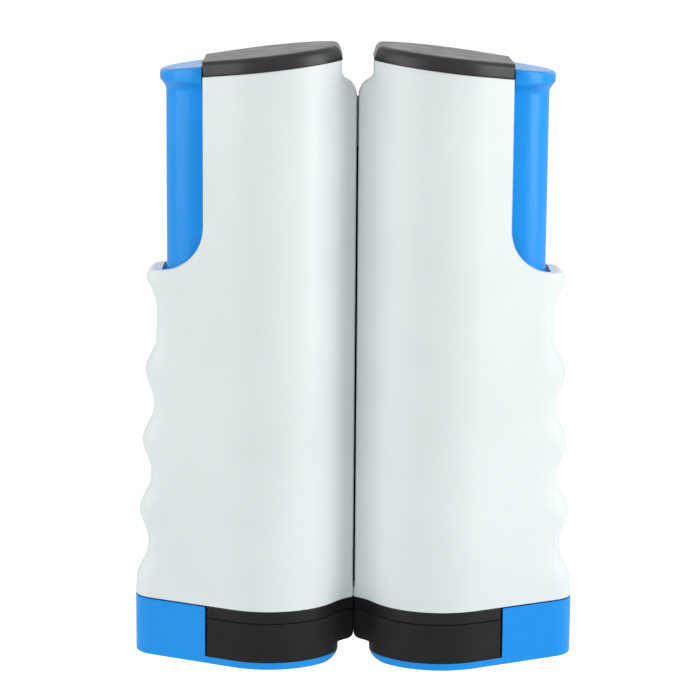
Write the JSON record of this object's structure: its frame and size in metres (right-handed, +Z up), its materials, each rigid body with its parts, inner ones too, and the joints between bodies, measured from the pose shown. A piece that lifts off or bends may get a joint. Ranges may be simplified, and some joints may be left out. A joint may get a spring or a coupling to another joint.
{
  "type": "retractable table tennis net",
  "caption": "Two spring-clamp posts side by side with a table tennis net wound on a roller between them.",
  "frame": {"origin": "middle of the pair of posts, on the surface they stand on", "axes": "+X from the left post to the right post, +Y from the front to the back, +Z up"},
  "size_m": [0.1336, 0.0472, 0.1859],
  "materials": {
    "housing": "satin off-white moulded plastic",
    "slider": "smooth bright blue moulded plastic",
    "cap": "satin black moulded plastic",
    "pad": "matt black rubber",
    "seat": "black moulded plastic",
    "tube": "white plastic tube",
    "spring": "zinc plated spring wire",
    "screws": "zinc plated steel",
    "rod": "bright drawn steel",
    "net": "dark knitted netting",
    "tape": "white woven tape"
  },
  "bodies": {
    "left_post": {"left_front_shell": "housing", "left_back_shell": "housing", "left_top_cap": "cap", "left_upper_jaw": "cap", "left_clamp_spring": "spring", "left_spring_seat": "seat", "left_grip_screws": "screws", "left_jaw_screws": "screws", "roller_axle": "rod"},
    "left_jaw": {"left_slider": "slider", "left_jaw_pad": "pad"},
    "right_post": {"right_front_shell": "housing", "right_back_shell": "housing", "right_top_cap": "cap", "right_upper_jaw": "cap", "right_clamp_spring": "spring", "right_spring_seat": "seat", "right_grip_screws": "screws", "right_jaw_screws": "screws", "net_bar": "rod", "net_run": "net", "net_tape": "tape"},
    "right_jaw": {"right_slider": "slider", "right_jaw_pad": "pad"},
    "net_roller": {"roller_tube": "tube", "roller_bushes": "seat", "return_spring": "spring", "net_roll": "net"}
  },
  "joints": [
    {"name": "left_clamp", "type": "slide", "parent": "left_post", "child": "left_jaw", "axis": [0, 0, -1], "range_m": [0, 0.042], "stiffness_N_per_m": 800, "springref_m": -0.02, "deforming": ["left_clamp_spring"]},
    {"name": "right_clamp", "type": "slide", "parent": "right_post", "child": "right_jaw", "axis": [0, 0, -1], "range_m": [0, 0.042], "stiffness_N_per_m": 800, "springref_m": -0.02, "deforming": ["right_clamp_spring"]},
    {"name": "post_spread", "type": "slide", "parent": "left_post", "child": "right_post", "axis": [1, 0, 0], "range_m": [0, 1.65], "stiffness_N_per_m": 2, "springref_m": -1.5, "deforming": ["net_run", "net_tape"]},
    {"name": "roller_turn", "type": "hinge", "parent": "left_post", "child": "net_roller", "pos_m": [-0.026, 0, 0.1], "axis": [0, 0, 1], "range_deg": [0, 8731]}
  ],
  "couplings": [
    {"joint": "roller_turn", "follows": "post_spread", "rad_per_m": 92.344}
  ]
}
